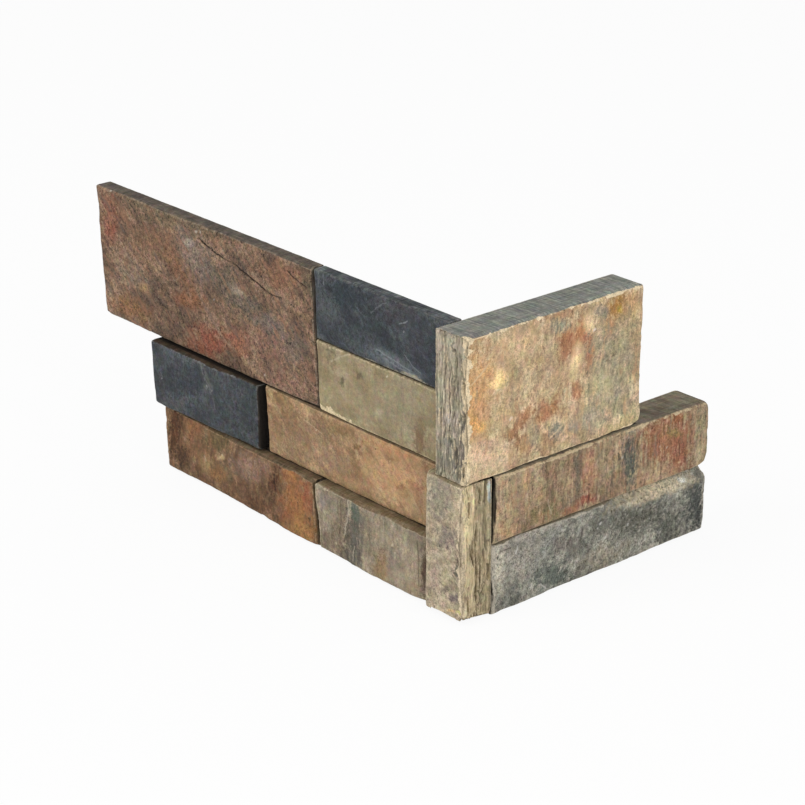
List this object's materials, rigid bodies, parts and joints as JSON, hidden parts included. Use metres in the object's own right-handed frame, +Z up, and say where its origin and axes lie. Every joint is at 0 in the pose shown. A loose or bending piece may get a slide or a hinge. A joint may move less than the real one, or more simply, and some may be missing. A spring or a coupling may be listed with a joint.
{
  "type": "stone cladding corner piece",
  "caption": "L-shaped cladding corner of split slate strips bonded in staggered courses, with flat backs that sit on both faces of an outside wall corner.",
  "frame": {"origin": "centre of the bounding box in plan, on the sawn underside", "axes": "+Z up the wall; the long leg runs towards -X with its back facing +Y, and the short leg runs towards +Y with its back facing -X"},
  "size_m": [0.323, 0.1746, 0.1524],
  "materials": {
    "rust_slate": "natural cleft face, rust-brown with red and lilac patches",
    "blue_slate": "smooth cleft face, blue-black",
    "olive_slate": "smooth cleft face, olive grey and tan",
    "navy_slate": "smooth cleft face, blue-black",
    "tan_slate": "cleft face, tan to peach with rust mottling",
    "russet_slate": "rough cleft face, rust, brown and purple",
    "grey_slate": "rough cleft face, grey with darker upright bands",
    "corner_slate": "cleft face with a torn layered end, grey tan",
    "gold_slate": "cleft face with a torn layered end, golden tan",
    "return_middle_slate": "rough cleft face, rust-brown with dark upright streaks",
    "return_lower_slate": "rough cleft face, dark grey with a chipped tan band",
    "cured_resin": "cured bonding resin inside the joints"
  },
  "bodies": {
    "root": {"upper_rust_stone": "rust_slate", "upper_blue_stone": "blue_slate", "upper_olive_stone": "olive_slate", "middle_navy_stone": "navy_slate", "middle_tan_stone": "tan_slate", "lower_russet_stone": "russet_slate", "lower_grey_stone": "grey_slate", "corner_stone": "corner_slate", "upper_gold_stone": "gold_slate", "middle_return_stone": "return_middle_slate", "lower_return_stone": "return_lower_slate", "upper_split_film": "cured_resin", "upper_bed_film": "cured_resin", "lower_bed_film": "cured_resin", "gold_bed_film": "cured_resin", "return_bed_film": "cured_resin", "corner_bed_film": "cured_resin", "upper_end_film": "cured_resin", "lower_end_film": "cured_resin", "upper_lap_film": "cured_resin", "lower_lap_film": "cured_resin", "corner_end_film": "cured_resin"}
  },
  "joints": []
}
